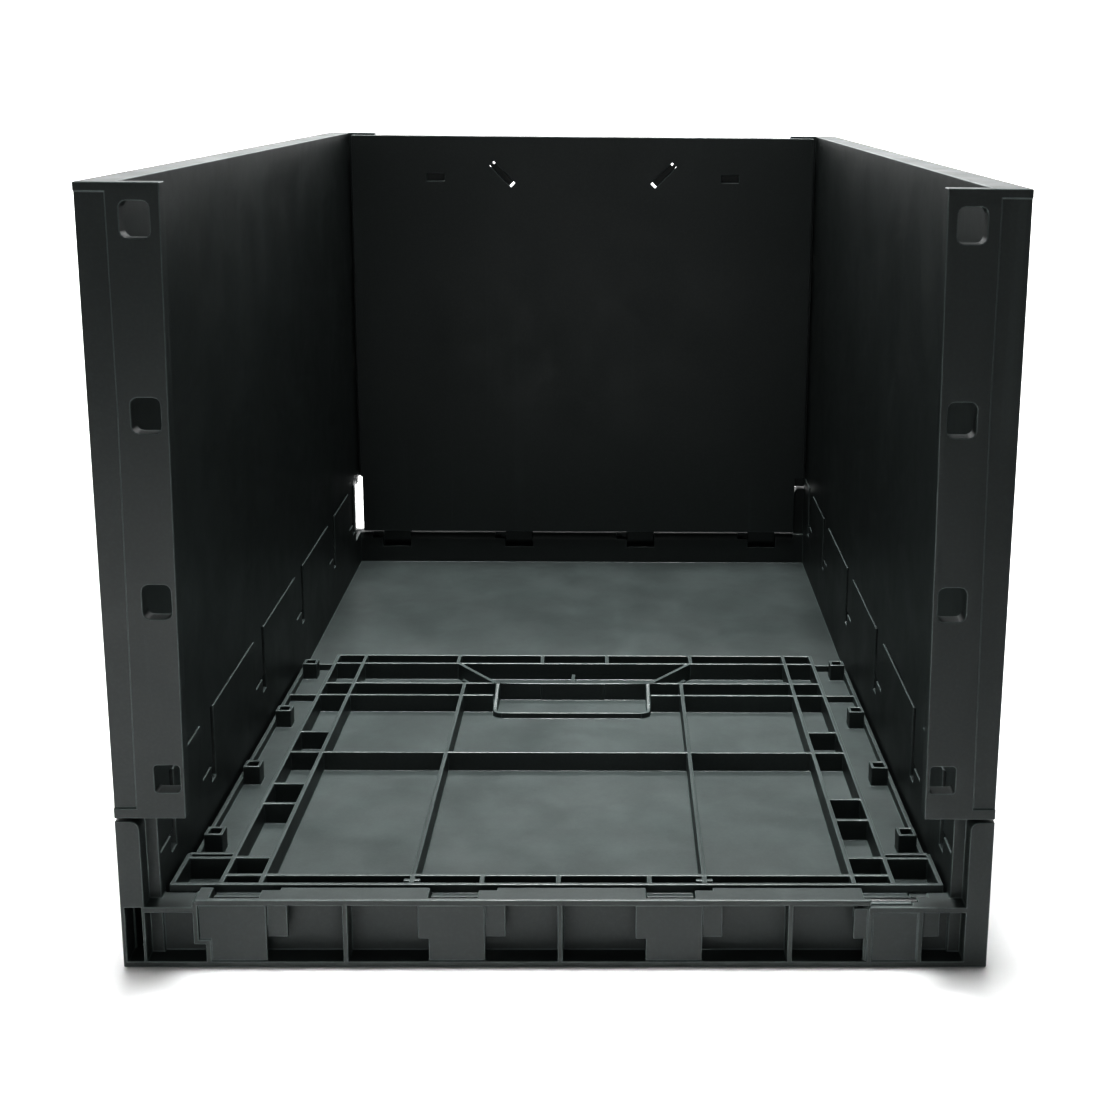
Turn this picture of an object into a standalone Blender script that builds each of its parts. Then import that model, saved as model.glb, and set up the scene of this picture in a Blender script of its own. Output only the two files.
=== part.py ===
"""Folding tote: a base tray, two end panels and two side walls, each hinged on short pins.

World frame: X runs across the tote, Y from its front end to its rear end, Z up, and the origin is
at the middle of the footprint.  The front end panel lies folded on the floor, the rear end panel
and the side walls stand.  Sizes are in millimetres and are scaled to metres as meshes are made.
"""
import math

import bmesh
import bpy
from mathutils import Matrix, Vector

MM = 0.001

# Overall size
LENGTH = 600.0
WIDTH = 400.0
HEIGHT = 360.0
HALF_WIDTH = WIDTH / 2
FRONT = -LENGTH / 2
REAR = LENGTH / 2
GAP = 0.3

# Base tray
FLOOR_TOP = 10.0
FLOOR_BOTTOM = 6.0
RIM_DEPTH = 14.0
FRONT_RIM_TOP = 34.0
REAR_RIM_TOP = 34.5
RIM_RIBS = (-97.5, 1.5, 108.0)
RIM_RIB_DEPTH = 10.5
RIM_WEB_START = 10.0
LOW_BAR_DROP = 3.5
FRONT_HIGH_BAR = (-166.0, 145.0)
POST_INNER = 189.0
BAR_REACH = 190.0
STEP_RIB_X = -159.4
STEP_RIB_TOP = 14.0
WIDE_POST_INNER = 175.0
POST_DEPTH = 10.5
CORNER_OPENING = 37.5
BASE_INNER = 183.2
BASE_SIDE_TOP = 81.7
SHELF_TOP = 73.0
SHEET = 3.0
RIB = 2.4
UNDER_RIB_PITCH_X = 61.0
UNDER_RIB_PITCH_Y = 82.0

# End panels, in the panel's own frame: the hinge axis is the origin, Z is up the panel
# and +Y is towards the inside of the tote
PANEL_RIB_FACE = -5.2
PANEL_INNER_FACE = 8.8
PANEL_HALF_WIDTH = 181.5
PANEL_TOP = 358.5
PANEL_FOOT = 7.6
PANEL_SKIN = 3.0
FRAME_RIBS = (158.0, 139.5)
MIDDLE_RIB = 69.0
CROSS_RIBS_FROM_TOP = (17.0, 54.0, 75.0, 165.0, 312.0)
FOOT_STRIP_LEAST = 6.0
FOOT_STRIP_RIBS = (-36.0, 0.0, 43.0)
LEFT_CELL_RIBS = (135.0, 208.0, 233.0, 294.0)
RIGHT_CELL_RIBS = (135.0, 227.0, 252.0, 294.0)
POCKET_HALF_WIDTH = 49.0
POCKET_TOP = 54.0
POCKET_BOTTOM = 87.0
POCKET_CORNER = 6.0
POCKET_LIP = 3.6
SLOT_BACK = 1.2
DIAGONAL_RIB = ((76.0, 17.0), (49.0, 54.0))
DIAGONAL_SLOT = ((72.0, 21.0), (55.0, 38.0))
SLOT_WIDTH = 5.0
SLOT_PAD = ((70.6, 22.4), (56.4, 36.6))
SLOT_PAD_WIDTH = 9.0
SMALL_SLOT = ((109.0, 123.0), (29.0, 35.0))
SMALL_SLOT_MARGIN = 2.0
TOP_RIBS = (77.0, 21.5)
SIDE_TAB = ((134.0, 139.0), (38.0, 41.0))
SIDE_TAB_REACH = 6.0
UPPER_STRIP_RIB = 58.0
BOX_DOUBLE_RIB = 4.5
NUB_HALF_WIDTH = 4.0
MIDDLE_POST_HEIGHT = 16.0
HOLD_BAR_HALF = (20.0, 1.6)
STUD_X = 174.4
STUD_SIZE = 9.4
STUD_WALL = 1.8
STUD_FIRST = 14.0
STUD_PITCH = 83.6
STUD_COUNT = 4
LOW_LIP_FACE = 1.3
CORNER_BOX_FROM_TOP = 290.0
REAR_CORNER_CUTS = (7.0, 1.3)
REAR_CORNER_CUT_TOP = 83.0

# End hinges
END_HINGES = (-148.5, -48.0, 52.5, 153.5)
AXIS_SETBACK = 7.0
AXIS_DEPTH = 5.2
SWING_RADIUS = 7.0
KNUCKLE_WIDTH = 22.0
KNUCKLE_RADIUS = 4.2
KNUCKLE_OPENING = -2.0
KNUCKLE_ARM = (-1.0, 4.1)
POCKET_DEPTH = 5.8
POCKET_BACK = 4.6
PIN_RADIUS = 2.2
BORE_RADIUS = 2.5
PIN_LENGTH = 27.6
HINGE_BLOCK_WIDTH = 29.6
PLATE_FACE = 0.8
PLATE_FROM = -11.4
PLATE_TO = 14.8
EAR_FROM = -16.2
SMALL_PLATE_TO = 24.2
SMALL_PLATE_DEPTH = (2.6, 5.0)
FRAME_RIB_DEPTH = 4.0
SHORT_PLATE_BOTTOM = 14.0
SNAP_STEP_WIDTH = 8.5
SNAP_STEP_DEPTH = 4.0
SNAP_STEP_BACK = 2.6

# Side walls
WALL_INNER = 184.0
WALL_SKIN = 3.0
WALL_BOTTOM = 74.4
WALL_SKIN_BOTTOM = 82.0
FLANGE_FOOT = (167.6, 189.8)
FLANGE_HEAD = (164.0, 185.6)
FLANGE_THICK = 8.0
END_PLATE_DEPTH = (1.0, 4.0)
END_PLATE_INNER = 185.0
END_SETBACK = 8.5
WINDOW_X = 175.0
TALL_WINDOW = (15.6, 12.6, 3.0)
LOW_WINDOW = (13.0, 11.4, 1.5)
WALL_RIB_HEIGHTS = (148.0, 218.0, 288.0)
WALL_POSTS = 7

# Side hinges, at distances from the front end of the tote
SIDE_HINGES = (22.5, 98.0, 218.0, 337.0, 457.0, 545.0)
SIDE_RIBS = (158.0, 278.0, 397.0, 501.0)
TAB_HALF_WIDTH = 11.0
TAB_BOTTOM = 52.0
OUTER_WINDOW = (38.0, 58.0)
TAB_FAR_GAP = 3.5
WINDOW_NOTCH_WIDTH = 9.0
WINDOW_NOTCH_DROP = 9.0
SIDE_PIN_LENGTH = 30.4
SIDE_AXIS_X = 191.5
SIDE_AXIS_Z = 65.5

ROUND_STEPS = 16


def clear_scene():
    for item in list(bpy.data.objects):
        bpy.data.objects.remove(item, do_unlink=True)


def plastic(name, colour, roughness, metallic=0.0):
    material = bpy.data.materials.new(name)
    material.use_nodes = True
    shader = material.node_tree.nodes["Principled BSDF"]
    shader.inputs["Base Color"].default_value = (*colour, 1.0)
    shader.inputs["Roughness"].default_value = roughness
    shader.inputs["Metallic"].default_value = metallic
    return material


class Shapes:
    """A heap of simple closed shapes that a Boolean later turns into one body."""

    def __init__(self):
        self.mesh = bmesh.new()

    def prism(self, outline, axis, low, high):
        """Extrude an outline of (a, b) points along axis; a and b are the next two axes."""
        order = {"x": (2, 0, 1), "y": (1, 2, 0), "z": (0, 1, 2)}[axis]

        def corner(point, level):
            triple = (point[0], point[1], level)
            return Vector(triple[index] for index in order) * MM

        bottom = [self.mesh.verts.new(corner(point, low)) for point in outline]
        top = [self.mesh.verts.new(corner(point, high)) for point in outline]
        count = len(outline)
        faces = [self.mesh.faces.new(bottom[::-1]), self.mesh.faces.new(top)]
        for index in range(count):
            after = (index + 1) % count
            ring = (bottom[index], bottom[after], top[after], top[index])
            faces.append(self.mesh.faces.new(ring))
        bmesh.ops.recalc_face_normals(self.mesh, faces=faces)

    def box(self, x_range, y_range, z_range):
        (x0, x1), (y0, y1), (z0, z1) = sorted(x_range), sorted(y_range), sorted(z_range)
        self.prism([(x0, y0), (x1, y0), (x1, y1), (x0, y1)], "z", z0, z1)

    def round_bar(self, axis, centre, radius, low, high):
        self.prism(circle(centre, radius), axis, low, high)

    def empty(self):
        return not self.mesh.verts


def circle(centre, radius, steps=ROUND_STEPS):
    turns = [2 * math.pi * (index + 0.5) / steps for index in range(steps)]
    return [(centre[0] + radius * math.cos(t), centre[1] + radius * math.sin(t)) for t in turns]


def rounded_rectangle(centre, width, height, radius, steps=3):
    points = []
    corners = ((1, 1, 0), (-1, 1, 90), (-1, -1, 180), (1, -1, 270))
    for side_a, side_b, start in corners:
        middle_a = centre[0] + side_a * (width / 2 - radius)
        middle_b = centre[1] + side_b * (height / 2 - radius)
        for index in range(steps + 1):
            turn = math.radians(start + 90 * index / steps)
            points.append((middle_a + radius * math.cos(turn), middle_b + radius * math.sin(turn)))
    return points


def helper_object(name, shapes):
    mesh = bpy.data.meshes.new(name)
    shapes.mesh.to_mesh(mesh)
    item = bpy.data.objects.new(name, mesh)
    bpy.context.collection.objects.link(item)
    return item


def boolean_step(item, other, operation):
    modifier = item.modifiers.new(operation.lower(), "BOOLEAN")
    modifier.operation = operation
    modifier.solver = "EXACT"
    modifier.use_self = True
    modifier.object = other
    bpy.context.view_layer.update()
    graph = bpy.context.evaluated_depsgraph_get()
    result = bpy.data.meshes.new_from_object(item.evaluated_get(graph))
    item.modifiers.clear()
    item.data = result
    bpy.data.objects.remove(other, do_unlink=True)


def one_body(name, first, more, cuts, material):
    """Join first with more, take cuts away, and leave one clean closed body."""
    item = helper_object(name, first)
    if not more.empty():
        boolean_step(item, helper_object(name + "_more", more), "UNION")
    if not cuts.empty():
        boolean_step(item, helper_object(name + "_cuts", cuts), "DIFFERENCE")
    mesh = item.data
    body = bmesh.new()
    body.from_mesh(mesh)
    bmesh.ops.remove_doubles(body, verts=body.verts, dist=0.00001)
    bmesh.ops.dissolve_limit(body, angle_limit=0.002, verts=body.verts, edges=body.edges)
    loose = [edge for edge in body.edges if not edge.link_faces]
    bmesh.ops.delete(body, geom=loose, context="EDGES")
    bmesh.ops.triangulate(body, faces=body.faces)
    body.to_mesh(mesh)
    body.free()
    mesh.materials.clear()
    mesh.materials.append(material)
    return item


def thick_line(shapes, start, end, thickness, low, high):
    """A straight rib seen in the X-Z plane, from start to end, with its depth along Y."""
    along = Vector(end) - Vector(start)
    side = Vector((-along.y, along.x)).normalized() * thickness / 2
    points = [Vector(start) + side, Vector(start) - side, Vector(end) - side, Vector(end) + side]
    shapes.prism([(point.y, point.x) for point in points], "y", low, high)


# ---------------------------------------------------------------- base tray


def swing_cutter(axis_y, axis_z, inward):
    """What is cut off the rim's inner top edge, so that a panel foot can swing past it."""
    points = []
    steps = 6
    for index in range(steps + 1):
        turn = math.radians(90 - 90 * index / steps)
        points.append((axis_y + inward * SWING_RADIUS * math.cos(turn),
                       axis_z + SWING_RADIUS * math.sin(turn)))
    far_y = axis_y + inward * (SWING_RADIUS + 1.0)
    above = axis_z + SWING_RADIUS + 2.0
    return points + [(far_y, axis_z), (far_y, above), (axis_y, above)]


def add_end_rim(body, cuts, rim_top, end_y, inward, high_bar, swing_range):
    """One end rim: a top bar, an inner web, a foot strip, ribs and the four hinge pockets."""
    axis_y = end_y + inward * AXIS_SETBACK
    axis_z = rim_top - AXIS_DEPTH
    web = (end_y + inward * RIM_WEB_START, end_y + inward * RIM_DEPTH)
    full_depth = (end_y, end_y + inward * RIM_DEPTH)
    rib_depth = (end_y, end_y + inward * RIM_RIB_DEPTH)
    low_top = rim_top - LOW_BAR_DROP
    body.box(high_bar, full_depth, (rim_top - SHEET, rim_top))
    body.box(high_bar, web, (0, rim_top - 1.0))
    for start, end in ((-BAR_REACH, high_bar[0] + 1.0), (high_bar[1] - 1.0, BAR_REACH)):
        if end - start > RIB:
            body.box((start, end), full_depth, (low_top - SHEET, low_top))
            body.box((start, end), web, (0, low_top - 1.0))
    body.box((-HALF_WIDTH + 1, HALF_WIDTH - 1), full_depth, (0, SHEET))
    cuts.prism(swing_cutter(axis_y, axis_z, inward), "x", *swing_range)
    for rib_x in RIM_RIBS:
        centre = inward * rib_x
        body.box((centre - RIB / 2, centre + RIB / 2), rib_depth, (1.0, rim_top - 1.5))
    for place in END_HINGES:
        hinge_x = inward * place
        raised = high_bar[0] <= hinge_x - PLATE_TO and hinge_x + PLATE_TO <= high_bar[1]
        top = (rim_top if raised else low_top) - 1.0

        def across(start, end):
            return (hinge_x + inward * start, hinge_x + inward * end)

        plate = (end_y + inward * PLATE_FACE, end_y + inward * (AXIS_SETBACK - POCKET_BACK))
        block = (end_y + inward * PLATE_FACE, end_y + inward * RIM_DEPTH)
        recessed = [end_y + inward * depth for depth in SMALL_PLATE_DEPTH]
        half_block = HINGE_BLOCK_WIDTH / 2
        body.box(across(-half_block, half_block), block, (axis_z - POCKET_DEPTH - RIB, top))
        body.box(across(PLATE_FROM, PLATE_TO), plate, (SHEET - 1.0, top))
        body.box(across(EAR_FROM, PLATE_FROM + 1.0), plate, (SHORT_PLATE_BOTTOM, top))
        body.box(across(PLATE_TO - 1.0, SMALL_PLATE_TO), recessed, (SHORT_PLATE_BOTTOM, top))
        half_pocket = KNUCKLE_WIDTH / 2 + GAP
        inside = end_y + inward * (RIM_DEPTH + 1.0)
        cuts.box(across(0.0, half_pocket + SNAP_STEP_WIDTH),
                 (axis_y + inward * SNAP_STEP_BACK, inside),
                 (rim_top - SNAP_STEP_DEPTH, rim_top + 1.0))
        cuts.box(across(-half_pocket, half_pocket), (axis_y - inward * POCKET_BACK, inside),
                 (axis_z - POCKET_DEPTH, rim_top + 1.0))
        cuts.round_bar("x", (axis_y, axis_z), BORE_RADIUS,
                       hinge_x - PIN_LENGTH / 2 - GAP, hinge_x + PIN_LENGTH / 2 + GAP)


def add_front_corner_ribs(body):
    """The stepped rib at the left end of the front rim and the two plain ribs at its right end."""
    rib_depth = (FRONT, FRONT + RIM_RIB_DEPTH)
    frame_depth = (FRONT, FRONT + FRAME_RIB_DEPTH)
    low_top = FRONT_RIM_TOP - LOW_BAR_DROP
    high_start = FRONT_HIGH_BAR[0]
    body.box((high_start - RIB / 2, high_start + RIB / 2), rib_depth,
             (STEP_RIB_TOP - RIB, FRONT_RIM_TOP - 1.0))
    body.box((high_start - RIB / 2, STEP_RIB_X), rib_depth, (STEP_RIB_TOP - RIB, STEP_RIB_TOP))
    body.box((STEP_RIB_X - RIB, STEP_RIB_X), rib_depth, (1.0, STEP_RIB_TOP))
    for centre in (FRONT_HIGH_BAR[1], END_HINGES[-1] + PLATE_TO):
        body.box((centre - RIB / 2, centre + RIB / 2), frame_depth, (1.0, low_top - 1.0))


def add_base_side(body, cuts, side):
    """One long side of the tray: inner sheet, outer sheet, shelf, ribs and hinge notches."""
    ends = (FRONT, REAR)
    body.box((side * BASE_INNER, side * (BASE_INNER + SHEET)),
             (FRONT + FLANGE_THICK + GAP, REAR - FLANGE_THICK - GAP), (0, BASE_SIDE_TOP))
    body.box((side * (HALF_WIDTH - SHEET), side * HALF_WIDTH), ends, (0, SHELF_TOP))
    body.box((side * (BASE_INNER + SHEET - 0.5), side * (HALF_WIDTH - 1)),
             (FRONT + FLANGE_THICK + GAP, REAR - FLANGE_THICK - GAP), (SHELF_TOP - SHEET, SHELF_TOP))
    rib_reach = (side * (BASE_INNER + 1.0), side * (HALF_WIDTH - 1.0))
    for end_y, inward in ((FRONT, 1), (REAR, -1)):
        body.box((side * (BASE_INNER + 1.0), side * (POST_INNER + 1.0)),
                 (end_y + inward * (FLANGE_THICK + GAP), end_y + inward * (POST_DEPTH - 0.3)),
                 (1.0, SHELF_TOP - 1.0))
    for place in SIDE_HINGES:
        hinge_y = FRONT + place
        notch = (hinge_y - TAB_HALF_WIDTH - GAP, hinge_y + TAB_HALF_WIDTH + TAB_FAR_GAP)
        body.box(rib_reach, (notch[0] - RIB, notch[0]), (0, SHELF_TOP - 1.0))
        body.box(rib_reach, (notch[1], notch[1] + RIB), (0, SHELF_TOP - 1.0))
        cuts.box((side * (BASE_INNER - 1.0), side * (WALL_INNER + WALL_SKIN + GAP)),
                 notch, (TAB_BOTTOM - GAP, HEIGHT))
        cuts.box((side * (BASE_INNER - 1.0), side * (BASE_INNER + SHEET + 1.0)),
                 (notch[1] - WINDOW_NOTCH_WIDTH, notch[1]), (TAB_BOTTOM - WINDOW_NOTCH_DROP, HEIGHT))
        cuts.box((side * (WALL_INNER + 1.0), side * (HALF_WIDTH - SHEET - 0.4)),
                 notch, (SHELF_TOP - SHEET - 1.0, HEIGHT))
        cuts.box((side * (HALF_WIDTH - SHEET - 1.0), side * (HALF_WIDTH + 1.0)),
                 (notch[0] + 4.0, notch[1] - 1.0), OUTER_WINDOW)
        middle = sum(notch) / 2
        cuts.round_bar("y", (SIDE_AXIS_Z, side * SIDE_AXIS_X), BORE_RADIUS,
                       middle - SIDE_PIN_LENGTH / 2 - GAP, middle + SIDE_PIN_LENGTH / 2 + GAP)
    for place in SIDE_RIBS:
        body.box(rib_reach, (FRONT + place - RIB / 2, FRONT + place + RIB / 2), (0, SHELF_TOP - 1.0))


def corner_post(body, side, end_y, inward, inner_x):
    """A corner post with a rounded inner top edge, seen from the end of the tote."""
    radius = 4.0
    outline = [(0.0, side * HALF_WIDTH), (0.0, side * inner_x)]
    for index in range(5):
        turn = math.radians(22.5 * index)
        outline.append((SHELF_TOP - radius + radius * math.sin(turn),
                        side * (inner_x + radius - radius * math.cos(turn))))
    outline.append((SHELF_TOP, side * HALF_WIDTH))
    body.prism(outline, "y", *sorted((end_y, end_y + inward * POST_DEPTH)))


def base_tray(material):
    first = Shapes()
    body = Shapes()
    cuts = Shapes()
    first.box((-BASE_INNER - 1, BASE_INNER + 1), (FRONT + 11, REAR - 11), (FLOOR_BOTTOM, FLOOR_TOP))
    for index in range(-2, 3):
        centre = index * UNDER_RIB_PITCH_X
        body.box((centre - RIB / 2, centre + RIB / 2), (FRONT + 12, REAR - 12), (0, FLOOR_BOTTOM + 1))
    for index in range(-3, 4):
        centre = index * UNDER_RIB_PITCH_Y
        body.box((-BASE_INNER - 1, BASE_INNER + 1), (centre - RIB / 2, centre + RIB / 2),
                 (0, FLOOR_BOTTOM + 1))
    add_end_rim(body, cuts, FRONT_RIM_TOP, FRONT, 1, FRONT_HIGH_BAR,
                (-BASE_INNER + GAP, BASE_INNER - GAP))
    add_end_rim(body, cuts, REAR_RIM_TOP, REAR, -1, (-BAR_REACH, BAR_REACH),
                (-BASE_INNER + GAP, WIDE_POST_INNER - GAP))
    add_front_corner_ribs(body)
    for side in (-1, 1):
        add_base_side(body, cuts, side)
        corner_post(body, side, FRONT, 1, POST_INNER)
    corner_post(body, -1, REAR, -1, POST_INNER)
    corner_post(body, 1, REAR, -1, WIDE_POST_INNER)
    # the rear left corner of the tray is open above the rim
    cuts.box((-BASE_INNER + 1.0, -POST_INNER), (REAR - CORNER_OPENING, REAR - FLANGE_THICK + 1.0),
             (REAR_RIM_TOP + GAP, HEIGHT))
    # open slot at the foot of the front left post
    cuts.box((-HALF_WIDTH + 2.0, -POST_INNER - 1.5), (FRONT - 1, FRONT + POST_DEPTH + 1), (SHEET, 30.0))
    return one_body("base_tray", first, body, cuts, material)


# ---------------------------------------------------------------- end panels


def panel_parts(top, corner_cuts, corner_cut_top):
    """Shapes of one end panel in its own frame, with the ribbed side towards -Y."""
    first = Shapes()
    body = Shapes()
    cuts = Shapes()
    inner = PANEL_INNER_FACE
    skin = inner - PANEL_SKIN
    rib_depth = (PANEL_RIB_FACE, skin + 1.0)
    half = RIB / 2
    first.box((-PANEL_HALF_WIDTH, PANEL_HALF_WIDTH), (skin, inner), (PANEL_FOOT, top))
    frame_outer = FRAME_RIBS[0]

    def across(x_range, from_top, depth=rib_depth):
        body.box(x_range, depth, (top - from_top - half, top - from_top + half))

    def upright(centre_x, z_range, depth=rib_depth):
        body.box((centre_x - half, centre_x + half), depth, z_range)

    across((-frame_outer - half, frame_outer + half), half)
    for from_top in CROSS_RIBS_FROM_TOP:
        if from_top == CROSS_RIBS_FROM_TOP[2]:
            for side in (-1, 1):
                across((side * frame_outer, side * POCKET_HALF_WIDTH), from_top)
        elif top - from_top > PANEL_FOOT + FOOT_STRIP_LEAST:
            across((-frame_outer, frame_outer), from_top)
    body.box((-PANEL_HALF_WIDTH + corner_cuts[0], PANEL_HALF_WIDTH - corner_cuts[1]), rib_depth,
             (PANEL_FOOT, PANEL_FOOT + RIB))
    sides = ((-1, LEFT_CELL_RIBS, corner_cuts[0]), (1, RIGHT_CELL_RIBS, corner_cuts[1]))
    for side, cell_ribs, corner_cut in sides:

        def sloping(ends):
            return [(side * across_x, top - from_top) for across_x, from_top in ends]

        for rib_x in FRAME_RIBS:
            upright(side * rib_x, (PANEL_FOOT, top))
        upright(side * MIDDLE_RIB, (PANEL_FOOT, top - POCKET_TOP))
        for from_top in cell_ribs:
            if top - from_top > PANEL_FOOT + FOOT_STRIP_LEAST:
                across((side * FRAME_RIBS[0], side * FRAME_RIBS[1]), from_top)
        thick_line(body, *sloping(DIAGONAL_RIB), RIB, *rib_depth)
        for rib_x in TOP_RIBS:
            upright(side * rib_x, (top - CROSS_RIBS_FROM_TOP[0], top))
        (tab_in, tab_out), (tab_top, tab_low) = SIDE_TAB
        body.box((side * tab_in, side * tab_out), (skin - SIDE_TAB_REACH, skin + 1.0),
                 (top - tab_low, top - tab_top))
        # side strip: a low lip along its edge, hollow studs and the corner box
        edge = side * (PANEL_HALF_WIDTH - half)
        box_top = top - CORNER_BOX_FROM_TOP
        low_lip = (LOW_LIP_FACE, skin + 1.0)
        upright(edge, (box_top, top), low_lip)
        across((side * frame_outer, side * PANEL_HALF_WIDTH), UPPER_STRIP_RIB, low_lip)
        across((side * frame_outer, side * PANEL_HALF_WIDTH), half, low_lip)
        box_edge = side * (PANEL_HALF_WIDTH - corner_cut - half)
        upright(box_edge, (PANEL_FOOT, box_top))
        for offset in (0.0, BOX_DOUBLE_RIB):
            across((side * frame_outer, box_edge), CORNER_BOX_FROM_TOP + offset)
        for index in range(STUD_COUNT):
            level = top - STUD_FIRST - index * STUD_PITCH
            stud = ((side * STUD_X - STUD_SIZE / 2, side * STUD_X + STUD_SIZE / 2),
                    (PANEL_RIB_FACE + GAP, skin + 1.0),
                    (level - STUD_SIZE / 2, level + STUD_SIZE / 2))
            body.box(*stud)
            hollow = STUD_SIZE / 2 - STUD_WALL
            cuts.box((side * STUD_X - hollow, side * STUD_X + hollow),
                     (PANEL_RIB_FACE - 1.0, skin - 1.0), (level - hollow, level + hollow))
        if corner_cut:
            cuts.box((side * (PANEL_HALF_WIDTH - corner_cut), side * (PANEL_HALF_WIDTH + 1.0)),
                     (PANEL_RIB_FACE - 1.0, inner + 1.0), (0, corner_cut_top))
        # a sloping slot beside each diagonal rib and a small window, both with a thin back
        pad = (skin - SLOT_BACK * 2, skin + 1.0)
        open_part = (skin - SLOT_BACK, inner + 1.0)
        thick_line(body, *sloping(SLOT_PAD), SLOT_PAD_WIDTH, *pad)
        thick_line(cuts, *sloping(DIAGONAL_SLOT), SLOT_WIDTH, *open_part)
        (slot_in, slot_out), (slot_top, slot_low) = SMALL_SLOT
        margin = SMALL_SLOT_MARGIN
        body.box((side * (slot_in - margin), side * (slot_out + margin)), pad,
                 (top - slot_low - margin, top - slot_top + margin))
        cuts.box((side * slot_in, side * slot_out), open_part, (top - slot_low, top - slot_top))
    for rib_x in FOOT_STRIP_RIBS:
        upright(rib_x, (PANEL_FOOT, top - CROSS_RIBS_FROM_TOP[-1]))
    for side in (-1, 1):
        middle_z = PANEL_FOOT + (top - CROSS_RIBS_FROM_TOP[-1] - PANEL_FOOT) / 2
        centre = side * MIDDLE_RIB
        body.box((centre - NUB_HALF_WIDTH, centre + NUB_HALF_WIDTH), rib_depth,
                 (middle_z - half, middle_z + half))
    hold_width, hold_height = HOLD_BAR_HALF
    upright(0.0, (top - POCKET_TOP, top - POCKET_TOP + MIDDLE_POST_HEIGHT))
    body.box((-hold_width, hold_width), rib_depth,
             (top - POCKET_TOP - hold_height, top - POCKET_TOP + hold_height))
    add_pocket(body, top, skin)
    add_knuckles(body, cuts)
    return first, body, cuts


def add_pocket(body, top, skin):
    """The hand hold: a low rounded lip below the cross rib, with sides that rise to the rib."""
    lip_depth = (skin - POCKET_LIP, skin + 1.0)
    radius = POCKET_CORNER
    low = top - POCKET_BOTTOM
    for side in (-1, 1):
        outer = side * POCKET_HALF_WIDTH
        inner = side * (POCKET_HALF_WIDTH - RIB)
        slope = [(PANEL_RIB_FACE, top - POCKET_TOP), (skin + 1.0, top - POCKET_TOP),
                 (skin + 1.0, low + radius), (skin - POCKET_LIP, low + radius)]
        body.prism(slope, "x", *sorted((inner, outer)))
        points = []
        for arc_radius, order in ((radius, (0, 1, 2, 3, 4)), (radius - RIB, (4, 3, 2, 1, 0))):
            for step in order:
                turn = math.radians(22.5 * step)
                points.append((low + radius - arc_radius * math.sin(turn),
                               side * (POCKET_HALF_WIDTH - radius + arc_radius * math.cos(turn))))
        body.prism(points, "y", *lip_depth)
    reach = POCKET_HALF_WIDTH - radius + 0.2
    body.box((-reach, reach), lip_depth, (low, low + RIB))


def add_knuckles(body, cuts):
    for hinge_x in END_HINGES:
        x_range = (hinge_x - KNUCKLE_WIDTH / 2, hinge_x + KNUCKLE_WIDTH / 2)
        cut_range = (x_range[0] - 1.0, x_range[1] + 1.0)
        body.round_bar("x", (0.0, 0.0), KNUCKLE_RADIUS, *x_range)
        body.box(x_range, KNUCKLE_ARM, (0.0, PANEL_FOOT + 1.0))
        cuts.round_bar("x", (0.0, 0.0), BORE_RADIUS, *cut_range)
        open_side = (-KNUCKLE_RADIUS - 1.0, KNUCKLE_OPENING)
        cuts.box(cut_range, open_side, (-KNUCKLE_RADIUS - 1.0, PANEL_FOOT - 0.5))


def hinge_empty(name, location, rotation):
    empty = bpy.data.objects.new(name, None)
    bpy.context.collection.objects.link(empty)
    empty.location = Vector(location) * MM
    empty.rotation_euler = rotation
    return empty


def end_panel(name, axis_y, axis_z, turn, corner_cuts, material):
    first, body, cuts = panel_parts(PANEL_TOP - axis_z, corner_cuts, REAR_CORNER_CUT_TOP - axis_z)
    item = one_body(name, first, body, cuts, material)
    item.parent = hinge_empty(name + "_axis", (0.0, axis_y, axis_z), turn)
    return item


# ---------------------------------------------------------------- side walls


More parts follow.
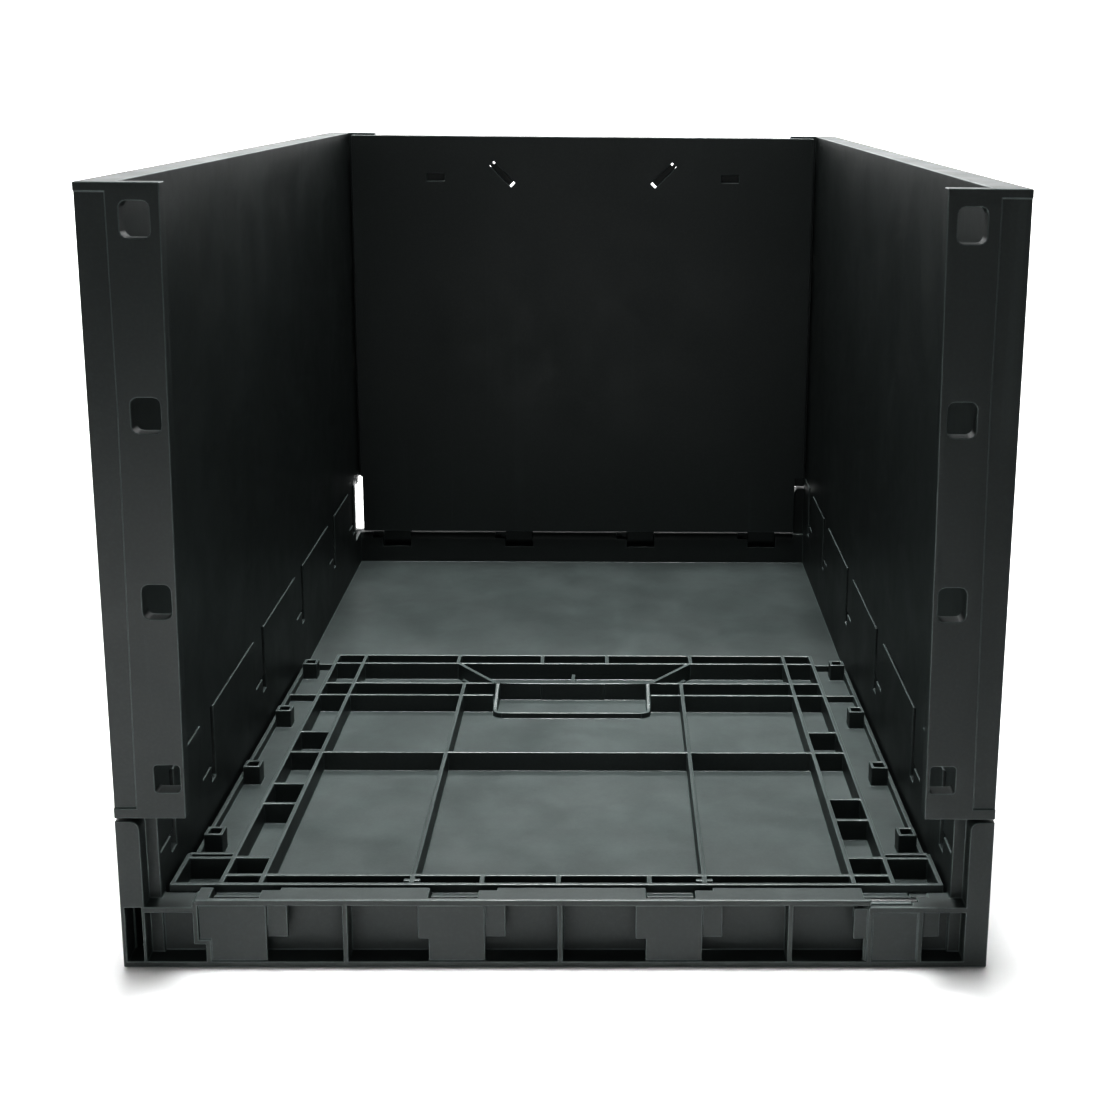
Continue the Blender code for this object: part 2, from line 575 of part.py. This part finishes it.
def side_wall(name, side, material):
    first = Shapes()
    body = Shapes()
    cuts = Shapes()
    run = (FRONT + END_SETBACK, REAR - END_SETBACK)
    outer = side * HALF_WIDTH
    skin_back = WALL_INNER + WALL_SKIN
    first.box((side * WALL_INNER, side * skin_back), run, (WALL_SKIN_BOTTOM, HEIGHT))
    rib_reach = (side * (skin_back - 0.5), outer)
    body.box((side * WALL_INNER, outer), (FRONT, REAR), (HEIGHT - 4.0, HEIGHT))
    body.box((side * (BASE_INNER + SHEET + GAP), outer), (FRONT, REAR), (WALL_BOTTOM, WALL_BOTTOM + 5.0))
    body.box((side * (BASE_INNER + SHEET + GAP), side * (skin_back + 1.0)), run,
             (WALL_BOTTOM, WALL_SKIN_BOTTOM + 2.0))
    for level in WALL_RIB_HEIGHTS:
        body.box(rib_reach, run, (level - RIB / 2, level + RIB / 2))
    for index in range(WALL_POSTS):
        place = run[0] + (run[1] - run[0] - RIB) * index / (WALL_POSTS - 1)
        body.box(rib_reach, (place, place + RIB), (WALL_BOTTOM + 1.0, HEIGHT - 1.0))
    for end_y, inward in ((FRONT, 1), (REAR, -1)):
        flange = (end_y, end_y + inward * FLANGE_THICK)
        outline = [(WALL_BOTTOM, side * FLANGE_FOOT[0]), (HEIGHT, side * FLANGE_HEAD[0]),
                   (HEIGHT, side * FLANGE_HEAD[1]), (WALL_BOTTOM, side * FLANGE_FOOT[1])]
        body.prism(outline, "y", *sorted(flange))
        body.box((side * END_PLATE_INNER, outer), [end_y + inward * depth for depth in END_PLATE_DEPTH],
                 (WALL_BOTTOM + 1.0, HEIGHT - 1.0))
        body.box((side * WALL_INNER, side * skin_back), (end_y, end_y + inward * (END_SETBACK + 1.0)),
                 (WALL_SKIN_BOTTOM, HEIGHT))
        for index in range(STUD_COUNT):
            level = PANEL_TOP - STUD_FIRST - index * STUD_PITCH
            size = LOW_WINDOW if index == STUD_COUNT - 1 else TALL_WINDOW
            window = rounded_rectangle((level, side * WINDOW_X), *size)
            through = sorted((end_y - inward * 1.0, end_y + inward * (FLANGE_THICK + 0.2)))
            cuts.prism(window, "y", *through)
    if side < 0:
        # the rear left flange stops short of the tray
        cuts.box((-WALL_INNER + FLANGE_THICK * 3, -BASE_INNER - SHEET),
                 (REAR - FLANGE_THICK - 1.0, REAR + 1.0), (WALL_BOTTOM - 1.0, WALL_SKIN_BOTTOM))
    for place in SIDE_HINGES:
        y_range = (FRONT + place - TAB_HALF_WIDTH, FRONT + place + TAB_HALF_WIDTH)
        body.box((side * WALL_INNER, side * skin_back), y_range, (TAB_BOTTOM, WALL_SKIN_BOTTOM + 1.0))
        body.round_bar("y", (SIDE_AXIS_Z, side * SIDE_AXIS_X), KNUCKLE_RADIUS, *y_range)
        body.box((side * (WALL_INNER + 1.0), side * (SIDE_AXIS_X + KNUCKLE_RADIUS - 0.1)), y_range,
                 (SIDE_AXIS_Z, WALL_BOTTOM + 1.0))
        cuts.round_bar("y", (SIDE_AXIS_Z, side * SIDE_AXIS_X), BORE_RADIUS,
                       y_range[0] - 1.0, y_range[1] + 1.0)
    return one_body(name, first, body, cuts, material)


# ---------------------------------------------------------------- hinge pins


def hinge_pin(name, axis, centre, length, material):
    shapes = Shapes()
    half = length / 2
    shapes.round_bar(axis, (0.0, 0.0), PIN_RADIUS, -half, half)
    item = helper_object(name, shapes)
    item.location = Vector(centre) * MM
    item.data.materials.append(material)
    item.data.shade_smooth()
    item.data.set_sharp_from_angle(angle=math.radians(40))
    return item


def build():
    clear_scene()
    tote_plastic = plastic("tote_plastic", (0.040, 0.046, 0.046), 0.5)
    pin_plastic = plastic("pin_plastic", (0.030, 0.032, 0.033), 0.4)
    base_tray(tote_plastic)
    front_axis = (FRONT + AXIS_SETBACK, FRONT_RIM_TOP - AXIS_DEPTH)
    rear_axis = (REAR - AXIS_SETBACK, REAR_RIM_TOP - AXIS_DEPTH)
    drop = front_axis[1] - PANEL_INNER_FACE - FLOOR_TOP - GAP
    lean = math.asin(drop / (PANEL_TOP - front_axis[1]))
    folded = (-math.pi / 2 - lean, 0.0, 0.0)
    end_panel("front_end_panel", *front_axis, folded, (0.0, 0.0), tote_plastic)
    upright = (0.0, 0.0, math.pi)
    end_panel("rear_end_panel", *rear_axis, upright, REAR_CORNER_CUTS, tote_plastic)
    side_wall("left_side_wall", -1, tote_plastic)
    side_wall("right_side_wall", 1, tote_plastic)
    for end_name, inward, axis in (("front", 1, front_axis), ("rear", -1, rear_axis)):
        for number, place in enumerate(END_HINGES, 1):
            centre = (inward * place, *axis)
            hinge_pin(f"{end_name}_hinge_pin_{number}", "x", centre, PIN_LENGTH, pin_plastic)
    for side_name, side in (("left", -1), ("right", 1)):
        for number, place in enumerate(SIDE_HINGES, 1):
            centre = (side * SIDE_AXIS_X, FRONT + place + (TAB_FAR_GAP - GAP) / 2, SIDE_AXIS_Z)
            hinge_pin(f"{side_name}_hinge_pin_{number}", "y", centre, SIDE_PIN_LENGTH, pin_plastic)


build()
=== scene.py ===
"""Looks for the folding tote: moulded charcoal plastic, soft studio light and the camera.

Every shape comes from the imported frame. This script rounds its moulded edges,
gives each node a procedural polypropylene, and adds the floor, lights and camera.
All lengths are in metres in the frame's own axes: X across, Y front to rear, Z up.
"""
import math

import bpy
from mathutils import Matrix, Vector

# Rounding of moulded edges
WELD_DISTANCE = 0.00002
SHARP_ANGLE = math.radians(35.0)
EDGE_RADIUS = 0.0005
PIN_EDGE_RADIUS = 0.0003
EDGE_STEPS = 2
EVEN_WEIGHT = 50

# Charcoal polypropylene, linear colour
CHARCOAL = (0.0280, 0.0343, 0.0334)
# Pins are a grey about a third as light as the moulding, so the hinge slits around them read dark:
# painted shade
PIN_SHADE_GREY = (0.010, 0.012, 0.012)
PLASTIC_IOR = 1.49

# Surface patterns: scales are features per metre, tones are multiples of the plastic's colour,
# and the LEAST value is the thinnest up-facing cover, partly dust and partly painted top light, as a
# share of the thickest
UPRIGHT_SCUFFS = (70.0, 70.0, 2.2)
LENGTHWISE_SCUFFS = (60.0, 3.0, 60.0)
MOTTLE_SCALE = 9.0
MOTTLE_TONES = (0.93, 1.07)
SPECKLE_SCALE = 650.0
SPECKLE_TONE = 1.6
SPECKLE_STRENGTH = 0.35
PATCH_SCALE = 22.0
PATCH_ROUGHNESS = (-0.05, 0.07)
SCUFF_PLACE_SCALE = 9.0
SCUFF_TONE = 2.6
SCUFF_ROUGHNESS = 0.12
# Up-facing faces turn lighter: partly settled dust, partly painted light from above
DUST_AND_TOP_LIGHT_SCALE = 30.0
DUST_AND_TOP_LIGHT_TONE = 4.0
DUST_AND_TOP_LIGHT_SLOPE = (0.6, 0.98)
DUST_AND_TOP_LIGHT_LEAST = 0.25
GRAIN_SCALE = 1100.0
GRAIN_DEPTH = 0.00006
GRAIN_STRENGTH = 0.35
WARP_SCALE = 14.0
WARP_DEPTH = 0.0006
WARP_STRENGTH = 0.15

# Camera
CAMERA_PLACE = (0.0244, -0.9509, 0.4037)
CAMERA_TURN = (77.873, -0.510, -0.834)
CAMERA_LENS = 50.81
SENSOR_WIDTH = 36.0
CAMERA_SHIFT = (-0.0797, -0.1254)
CAMERA_NEAR = 0.05

# Stage: the floor glows softly behind the tote, and a little far ahead of it
FLOOR_DROP = 0.0003
FLOOR_TONES = (0.78, 0.82)
FLOOR_TONE_SCALE = 3.0
FLOOR_ROUGHNESS = 0.7
FLOOR_SPECULAR = 0.2
BACK_GLOW_START = 0.15
BACK_GLOW_FULL = 0.8
SWEEP_RADIUS = 6.5
SWEEP_HEIGHT = 4.0
SWEEP_STEPS = 96
SWEEP_GLOW = 1.0
FRONT_GLOW = 0.05
FRONT_GLOW_START = -1.4
FRONT_GLOW_FULL = -3.5

# Light: powers in watts, spreads in degrees
KEY_PLACE = (-0.02, 0.10, 3.0)
KEY_TARGET = (-0.02, 0.10, 0.0)
KEY_SIZE = (0.8, 0.8)
KEY_POWER = 7.4
KEY_SPREAD = 32.0
BACK_PLACE = (-0.05, 1.15, 2.1)
BACK_TARGET = (0.0, -0.15, 0.0)
BACK_SIZE = (0.5, 0.4)
BACK_POWER = 0.95
BACK_SPREAD = 30.0
CARD_PLACE = (-0.22, -0.62, 0.004)
CARD_TARGET = (-0.12, -0.3, 0.09)
CARD_SIZE = (0.9, 0.25)
CARD_POWER = 1.1
WORLD_STRENGTH = 0.03


class Nodes:
    """Adds nodes to a material's tree and links them, so that a shader reads top to bottom."""

    def __init__(self, tree):
        self.tree = tree
        self.column = 0

    def add(self, kind, inputs=None, **settings):
        made = self.tree.nodes.new(kind)
        made.location = (self.column * 190.0, 0.0)
        self.column += 1
        for name, value in settings.items():
            setattr(made, name, value)
        for name, value in (inputs or {}).items():
            if isinstance(value, bpy.types.NodeSocket):
                self.tree.links.new(value, made.inputs[name])
            else:
                made.inputs[name].default_value = value
        return made

    def noise(self, vector, scale, detail=2.0, roughness=0.5, distortion=0.0):
        made = self.add("ShaderNodeTexNoise", {"Vector": vector, "Scale": scale, "Detail": detail,
                                               "Roughness": roughness, "Distortion": distortion})
        return made.outputs["Fac"]

    def stretched(self, vector, scale):
        return self.add("ShaderNodeMapping", {"Vector": vector, "Scale": scale}).outputs["Vector"]

    def ranged(self, value, low, high, to_low=0.0, to_high=1.0):
        made = self.add("ShaderNodeMapRange", {"Value": value, "From Min": low, "From Max": high,
                                               "To Min": to_low, "To Max": to_high})
        return made.outputs["Result"]

    def maths(self, operation, first, second):
        made = self.add("ShaderNodeMath", operation=operation)
        for socket, value in zip(made.inputs, (first, second)):
            if isinstance(value, bpy.types.NodeSocket):
                self.tree.links.new(value, socket)
            else:
                socket.default_value = value
        return made.outputs["Value"]

    def mixed(self, factor, first, second):
        made = self.add("ShaderNodeMix", data_type="RGBA")
        for place, value in ((0, factor), (6, first), (7, second)):
            if isinstance(value, bpy.types.NodeSocket):
                self.tree.links.new(value, made.inputs[place])
            else:
                made.inputs[place].default_value = value
        return made.outputs[2]

    def bump(self, height, strength, distance, normal=None):
        inputs = {"Height": height, "Strength": strength, "Distance": distance}
        if normal is not None:
            inputs["Normal"] = normal
        return self.add("ShaderNodeBump", inputs).outputs["Normal"]


def shade(colour, factor):
    """A linear colour made lighter or darker, with full alpha."""
    return (*(channel * factor for channel in colour), 1.0)


def moulded_plastic(name, colour, roughness, scuffs=0.0, scuff_stretch=UPRIGHT_SCUFFS,
                    dust_and_top_light=0.0, painted_lightness=1.0):
    """Polypropylene with mottled pigment, fine grain, uneven polish, scuffs, and a lighter colour on
    faces that face up, partly dust and partly painted top light; a lightness above one paints light
    into the whole colour.
    """
    material = bpy.data.materials.new(name)
    material.use_nodes = True
    tree = material.node_tree
    shader = tree.nodes["Principled BSDF"]
    nodes = Nodes(tree)
    coordinates = nodes.add("ShaderNodeTexCoord")
    place = coordinates.outputs["Object"]

    mottle = nodes.noise(place, MOTTLE_SCALE, 5.0, 0.6)
    speckle = nodes.noise(place, SPECKLE_SCALE, 2.0, 0.6)
    # A lightness above one paints light into the colour: lit copies of one plastic and painted edge
    # highlights
    darker, lighter = (shade(colour, tone * painted_lightness) for tone in MOTTLE_TONES)
    pigment = nodes.mixed(nodes.ranged(mottle, 0.3, 0.7), darker, lighter)
    pigment = nodes.mixed(nodes.ranged(speckle, 0.45, 0.75, 0.0, SPECKLE_STRENGTH), pigment,
                          shade(colour, SPECKLE_TONE * painted_lightness))

    patches = nodes.noise(place, PATCH_SCALE, 5.0, 0.6, 0.4)
    smooth, matt = (roughness + change for change in PATCH_ROUGHNESS)
    polish = nodes.ranged(patches, 0.3, 0.7, smooth, matt)

    if scuffs:
        streaks = nodes.noise(nodes.stretched(place, scuff_stretch), 1.0, 5.0, 0.65, 0.3)
        where = nodes.noise(place, SCUFF_PLACE_SCALE, 3.0, 0.5)
        rubbed = nodes.maths("MULTIPLY", nodes.ranged(streaks, 0.56, 0.74),
                             nodes.ranged(where, 0.45, 0.62, 0.0, scuffs))
        pigment = nodes.mixed(rubbed, pigment, shade(colour, SCUFF_TONE))
        polish = nodes.maths("ADD", polish, nodes.maths("MULTIPLY", rubbed, SCUFF_ROUGHNESS))

    if dust_and_top_light:
        # Faces that face up are lightened: partly settled dust, partly painted light from above
        up = nodes.add("ShaderNodeSeparateXYZ", {"Vector": coordinates.outputs["Normal"]})
        facing_up = nodes.ranged(up.outputs["Z"], *DUST_AND_TOP_LIGHT_SLOPE)
        dust_and_top_light_drift = nodes.noise(place, DUST_AND_TOP_LIGHT_SCALE, 6.0, 0.7)
        dust_and_top_light_drift = nodes.ranged(dust_and_top_light_drift, 0.4, 0.75, DUST_AND_TOP_LIGHT_LEAST * dust_and_top_light, dust_and_top_light)
        dust_and_top_light_cover = nodes.maths("MULTIPLY", facing_up, dust_and_top_light_drift)
        pigment = nodes.mixed(dust_and_top_light_cover, pigment, shade(colour, DUST_AND_TOP_LIGHT_TONE))

    grain = nodes.noise(place, GRAIN_SCALE, 3.0, 0.6)
    warp = nodes.noise(place, WARP_SCALE, 2.0, 0.5)
    surface = nodes.bump(warp, WARP_STRENGTH, WARP_DEPTH)
    surface = nodes.bump(grain, GRAIN_STRENGTH, GRAIN_DEPTH, surface)

    tree.links.new(pigment, shader.inputs["Base Color"])
    tree.links.new(polish, shader.inputs["Roughness"])
    tree.links.new(surface, shader.inputs["Normal"])
    shader.inputs["IOR"].default_value = PLASTIC_IOR
    return material


def round_edges(piece, radius):
    """Rounds the sharp moulded edges without touching the mesh, and gives them the second slot, which
    holds the plastic painted lighter as an edge highlight.
    """
    weld = piece.modifiers.new("weld", "WELD")
    weld.merge_threshold = WELD_DISTANCE
    bevel = piece.modifiers.new("rounded", "BEVEL")
    bevel.width = radius
    bevel.segments = EDGE_STEPS
    bevel.limit_method = "ANGLE"
    bevel.angle_limit = SHARP_ANGLE
    bevel.loop_slide = False
    bevel.use_clamp_overlap = False
    bevel.material = 1
    even = piece.modifiers.new("even", "WEIGHTED_NORMAL")
    even.mode = "FACE_AREA"
    even.weight = EVEN_WEIGHT
    even.keep_sharp = False


def dress(piece, face, edge, radius=EDGE_RADIUS):
    """Gives a node its face plastic, its edge plastic painted lighter as a highlight, and its rounded
    edges.
    """
    piece.data.materials.clear()
    piece.data.materials.append(face)
    piece.data.materials.append(edge)
    round_edges(piece, radius)


def make_camera():
    """The camera of the main view, placed and turned by the named values above."""
    data = bpy.data.cameras.new("camera")
    data.sensor_width = SENSOR_WIDTH
    data.lens = CAMERA_LENS
    data.shift_x, data.shift_y = CAMERA_SHIFT
    data.clip_start = CAMERA_NEAR
    camera = bpy.data.objects.new("camera", data)
    camera.location = CAMERA_PLACE
    camera.rotation_euler = [math.radians(angle) for angle in CAMERA_TURN]
    bpy.context.scene.collection.objects.link(camera)
    bpy.context.scene.camera = camera


def area_light(name, place, target, size, power, spread=180.0):
    """A white rectangle of light at one place, turned to another and hidden from the camera."""
    data = bpy.data.lights.new(name, "AREA")
    data.shape = "RECTANGLE"
    data.size, data.size_y = size
    data.energy = power
    data.spread = math.radians(spread)
    light = bpy.data.objects.new(name, data)
    light.location = place
    light.rotation_euler = (Vector(target) - Vector(place)).to_track_quat("-Z", "Y").to_euler()
    light.visible_camera = False
    bpy.context.scene.collection.objects.link(light)


def studio_white():
    """Pale matt white that glows softly far from the tote, so that the floor runs into the backdrop."""
    material = bpy.data.materials.new("studio_white")
    material.use_nodes = True
    shader = material.node_tree.nodes["Principled BSDF"]
    nodes = Nodes(material.node_tree)
    place = nodes.add("ShaderNodeTexCoord").outputs["Object"]
    darker, lighter = ((tone, tone, tone, 1.0) for tone in FLOOR_TONES)
    paint = nodes.mixed(nodes.noise(place, FLOOR_TONE_SCALE, 3.0), darker, lighter)
    depth = nodes.add("ShaderNodeSeparateXYZ", {"Vector": place}).outputs["Y"]
    behind = nodes.ranged(depth, BACK_GLOW_START, BACK_GLOW_FULL, 0.0, SWEEP_GLOW)
    ahead = nodes.ranged(depth, FRONT_GLOW_START, FRONT_GLOW_FULL, 0.0, FRONT_GLOW)
    glow = nodes.maths("ADD", behind, ahead)
    material.node_tree.links.new(paint, shader.inputs["Base Color"])
    material.node_tree.links.new(glow, shader.inputs["Emission Strength"])
    shader.inputs["Emission Color"].default_value = (1.0, 1.0, 1.0, 1.0)
    shader.inputs["Roughness"].default_value = FLOOR_ROUGHNESS
    shader.inputs["Specular IOR Level"].default_value = FLOOR_SPECULAR
    return material


def stage_mesh(name, points, faces, material):
    """Adds a mesh that belongs to the studio and not to the tote."""
    mesh = bpy.data.meshes.new(name)
    mesh.from_pydata(points, [], faces)
    mesh.materials.append(material)
    item = bpy.data.objects.new(name, mesh)
    bpy.context.scene.collection.objects.link(item)


def make_floor():
    """A round pale floor just under the tote's feet, inside a round pale backdrop."""
    white = studio_white()
    ring = []
    for k in range(SWEEP_STEPS):
        turn = 2 * math.pi * k / SWEEP_STEPS
        ring.append((SWEEP_RADIUS * math.cos(turn), SWEEP_RADIUS * math.sin(turn)))
    floor = [(x, y, -FLOOR_DROP) for x, y in ring]
    stage_mesh("floor", floor, [list(range(SWEEP_STEPS))], white)
    wall = floor + [(x, y, SWEEP_HEIGHT) for x, y in ring]
    faces = []
    for k in range(SWEEP_STEPS):
        following = (k + 1) % SWEEP_STEPS
        faces.append((k, following, SWEEP_STEPS + following, SWEEP_STEPS + k))
    stage_mesh("backdrop", wall, faces, white)


def make_lights():
    """A narrow key from above, a weak light from behind, a card low in front and a dim world."""
    area_light("key_light", KEY_PLACE, KEY_TARGET, KEY_SIZE, KEY_POWER, KEY_SPREAD)
    area_light("back_light", BACK_PLACE, BACK_TARGET, BACK_SIZE, BACK_POWER, BACK_SPREAD)
    area_light("bounce_card", CARD_PLACE, CARD_TARGET, CARD_SIZE, CARD_POWER)
    world = bpy.data.worlds.new("studio")
    world.use_nodes = True
    background = world.node_tree.nodes["Background"]
    background.inputs["Color"].default_value = (1.0, 1.0, 1.0, 1.0)
    background.inputs["Strength"].default_value = WORLD_STRENGTH
    bpy.context.scene.world = world


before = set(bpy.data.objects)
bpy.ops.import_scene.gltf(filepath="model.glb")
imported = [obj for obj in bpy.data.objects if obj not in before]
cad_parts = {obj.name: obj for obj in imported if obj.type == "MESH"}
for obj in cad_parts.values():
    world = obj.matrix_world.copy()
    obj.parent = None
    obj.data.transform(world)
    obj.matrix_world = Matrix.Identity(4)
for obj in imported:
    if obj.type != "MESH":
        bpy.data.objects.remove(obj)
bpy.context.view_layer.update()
bpy.context.scene.view_settings.view_transform = "Standard"
bpy.context.scene.view_settings.look = "High Contrast"

wall_plastic = moulded_plastic("wall_plastic", CHARCOAL, roughness=0.42, scuffs=0.5)
# The folded panel: the same plastic painted 1.15 times lighter, with more of the lighter up-facing
# cover, to paint extra light on its upturned skin
folded_lit_plastic = moulded_plastic("folded_lit_plastic", CHARCOAL, roughness=0.42, scuffs=0.25,
                                 scuff_stretch=LENGTHWISE_SCUFFS, dust_and_top_light=0.30, painted_lightness=1.15)
panel_plastic = moulded_plastic("panel_plastic", CHARCOAL, roughness=0.42, scuffs=0.3)
base_plastic = moulded_plastic("base_plastic", CHARCOAL, roughness=0.45, scuffs=0.25,
                               scuff_stretch=LENGTHWISE_SCUFFS, dust_and_top_light=0.2)
# Rounded edges: the same plastic painted 2.6 times lighter, a painted highlight on the edges
edge_highlight_plastic = moulded_plastic("edge_highlight_plastic", CHARCOAL, roughness=0.34, painted_lightness=2.6)
# The pins: a far darker grey that paints the shade in the hinge slits
pin_plastic = moulded_plastic("pin_plastic", PIN_SHADE_GREY, roughness=0.35)
# Pin edges: the pin grey painted 1.6 times lighter, a painted highlight on the rounded edges
pin_edge_highlight = moulded_plastic("pin_edge_highlight", PIN_SHADE_GREY, roughness=0.35, painted_lightness=1.6)

FACES = {
    "base_tray": base_plastic,
    "front_end_panel": folded_lit_plastic,
    "rear_end_panel": panel_plastic,
    "left_side_wall": wall_plastic,
    "right_side_wall": wall_plastic,
}
for name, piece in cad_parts.items():
    if name in FACES:
        dress(piece, FACES[name], edge_highlight_plastic)
    else:
        dress(piece, pin_plastic, pin_edge_highlight, PIN_EDGE_RADIUS)

make_floor()
make_lights()
make_camera()
